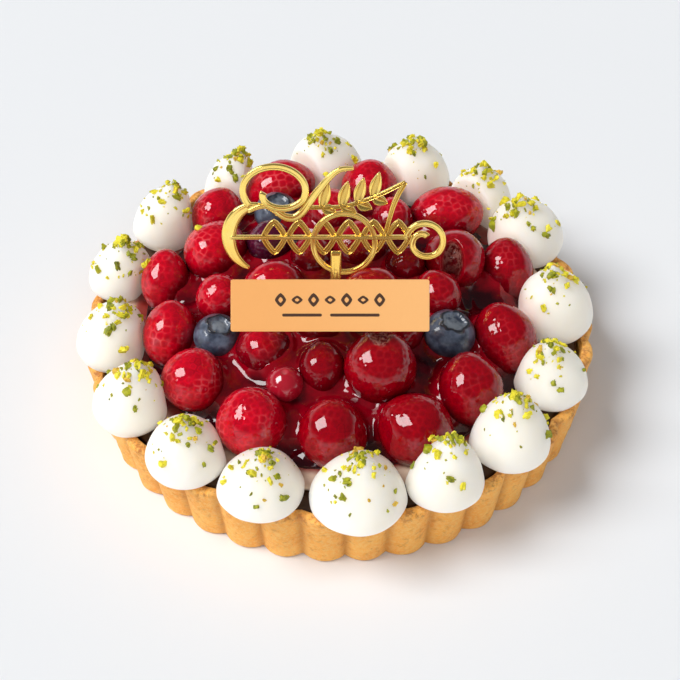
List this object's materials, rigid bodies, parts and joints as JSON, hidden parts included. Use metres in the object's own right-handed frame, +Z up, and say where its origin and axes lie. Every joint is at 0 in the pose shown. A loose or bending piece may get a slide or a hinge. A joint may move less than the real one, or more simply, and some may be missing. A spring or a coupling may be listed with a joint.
{
  "type": "fruit tart",
  "caption": "Round fluted tart with jellied raspberries and blueberries, a ring of piped cream dollops with nut crumbs, a blank tag and a gold scrollwork pick.",
  "frame": {"origin": "centre of the crust's flat underside", "axes": "+Z up, -Y the front that the tag faces, +X to the right seen from the front"},
  "size_m": [0.1709, 0.1772, 0.0781],
  "materials": {
    "crust": "matt, golden, browner at the rim",
    "filling": "matt, dark brown",
    "custard": "satin",
    "jelly": "wet gloss",
    "cream": "soft satin, with nut crumbs",
    "raspberry": "glazed",
    "dark_berry": "glazed",
    "blueberry": "bloomed, lightly glazed",
    "redcurrant": "glazed",
    "tag": "satin",
    "gold_plastic": "polished gold"
  },
  "bodies": {
    "root": {"crust": "crust", "filling": "filling", "custard": "custard", "jelly": "jelly", "raspberry_01": "raspberry", "raspberry_02": "raspberry", "raspberry_03": "raspberry", "raspberry_04": "raspberry", "raspberry_05": "raspberry", "raspberry_06": "raspberry", "raspberry_07": "raspberry", "raspberry_08": "raspberry", "raspberry_09": "raspberry", "raspberry_10": "raspberry", "raspberry_11": "raspberry", "raspberry_12": "raspberry", "raspberry_13": "raspberry", "raspberry_14": "raspberry", "raspberry_15": "raspberry", "raspberry_16": "raspberry", "raspberry_17": "raspberry", "raspberry_18": "raspberry", "raspberry_19": "raspberry", "raspberry_20": "raspberry", "raspberry_21": "raspberry", "raspberry_22": "raspberry", "raspberry_23": "raspberry", "raspberry_24": "raspberry", "raspberry_25": "raspberry", "raspberry_26": "raspberry", "raspberry_27": "raspberry", "raspberry_28": "raspberry", "raspberry_29": "raspberry", "dark_berry": "dark_berry", "blueberry_1": "blueberry", "blueberry_2": "blueberry", "blueberry_3": "blueberry", "redcurrant": "redcurrant", "pick": "gold_plastic", "tag": "tag", "dollop_01": "cream", "dollop_02": "cream", "dollop_03": "cream", "dollop_04": "cream", "dollop_05": "cream", "dollop_06": "cream", "dollop_07": "cream", "dollop_08": "cream", "dollop_09": "cream", "dollop_10": "cream", "dollop_11": "cream", "dollop_12": "cream", "dollop_13": "cream", "dollop_14": "cream", "dollop_15": "cream", "dollop_16": "cream"}
  },
  "joints": []
}
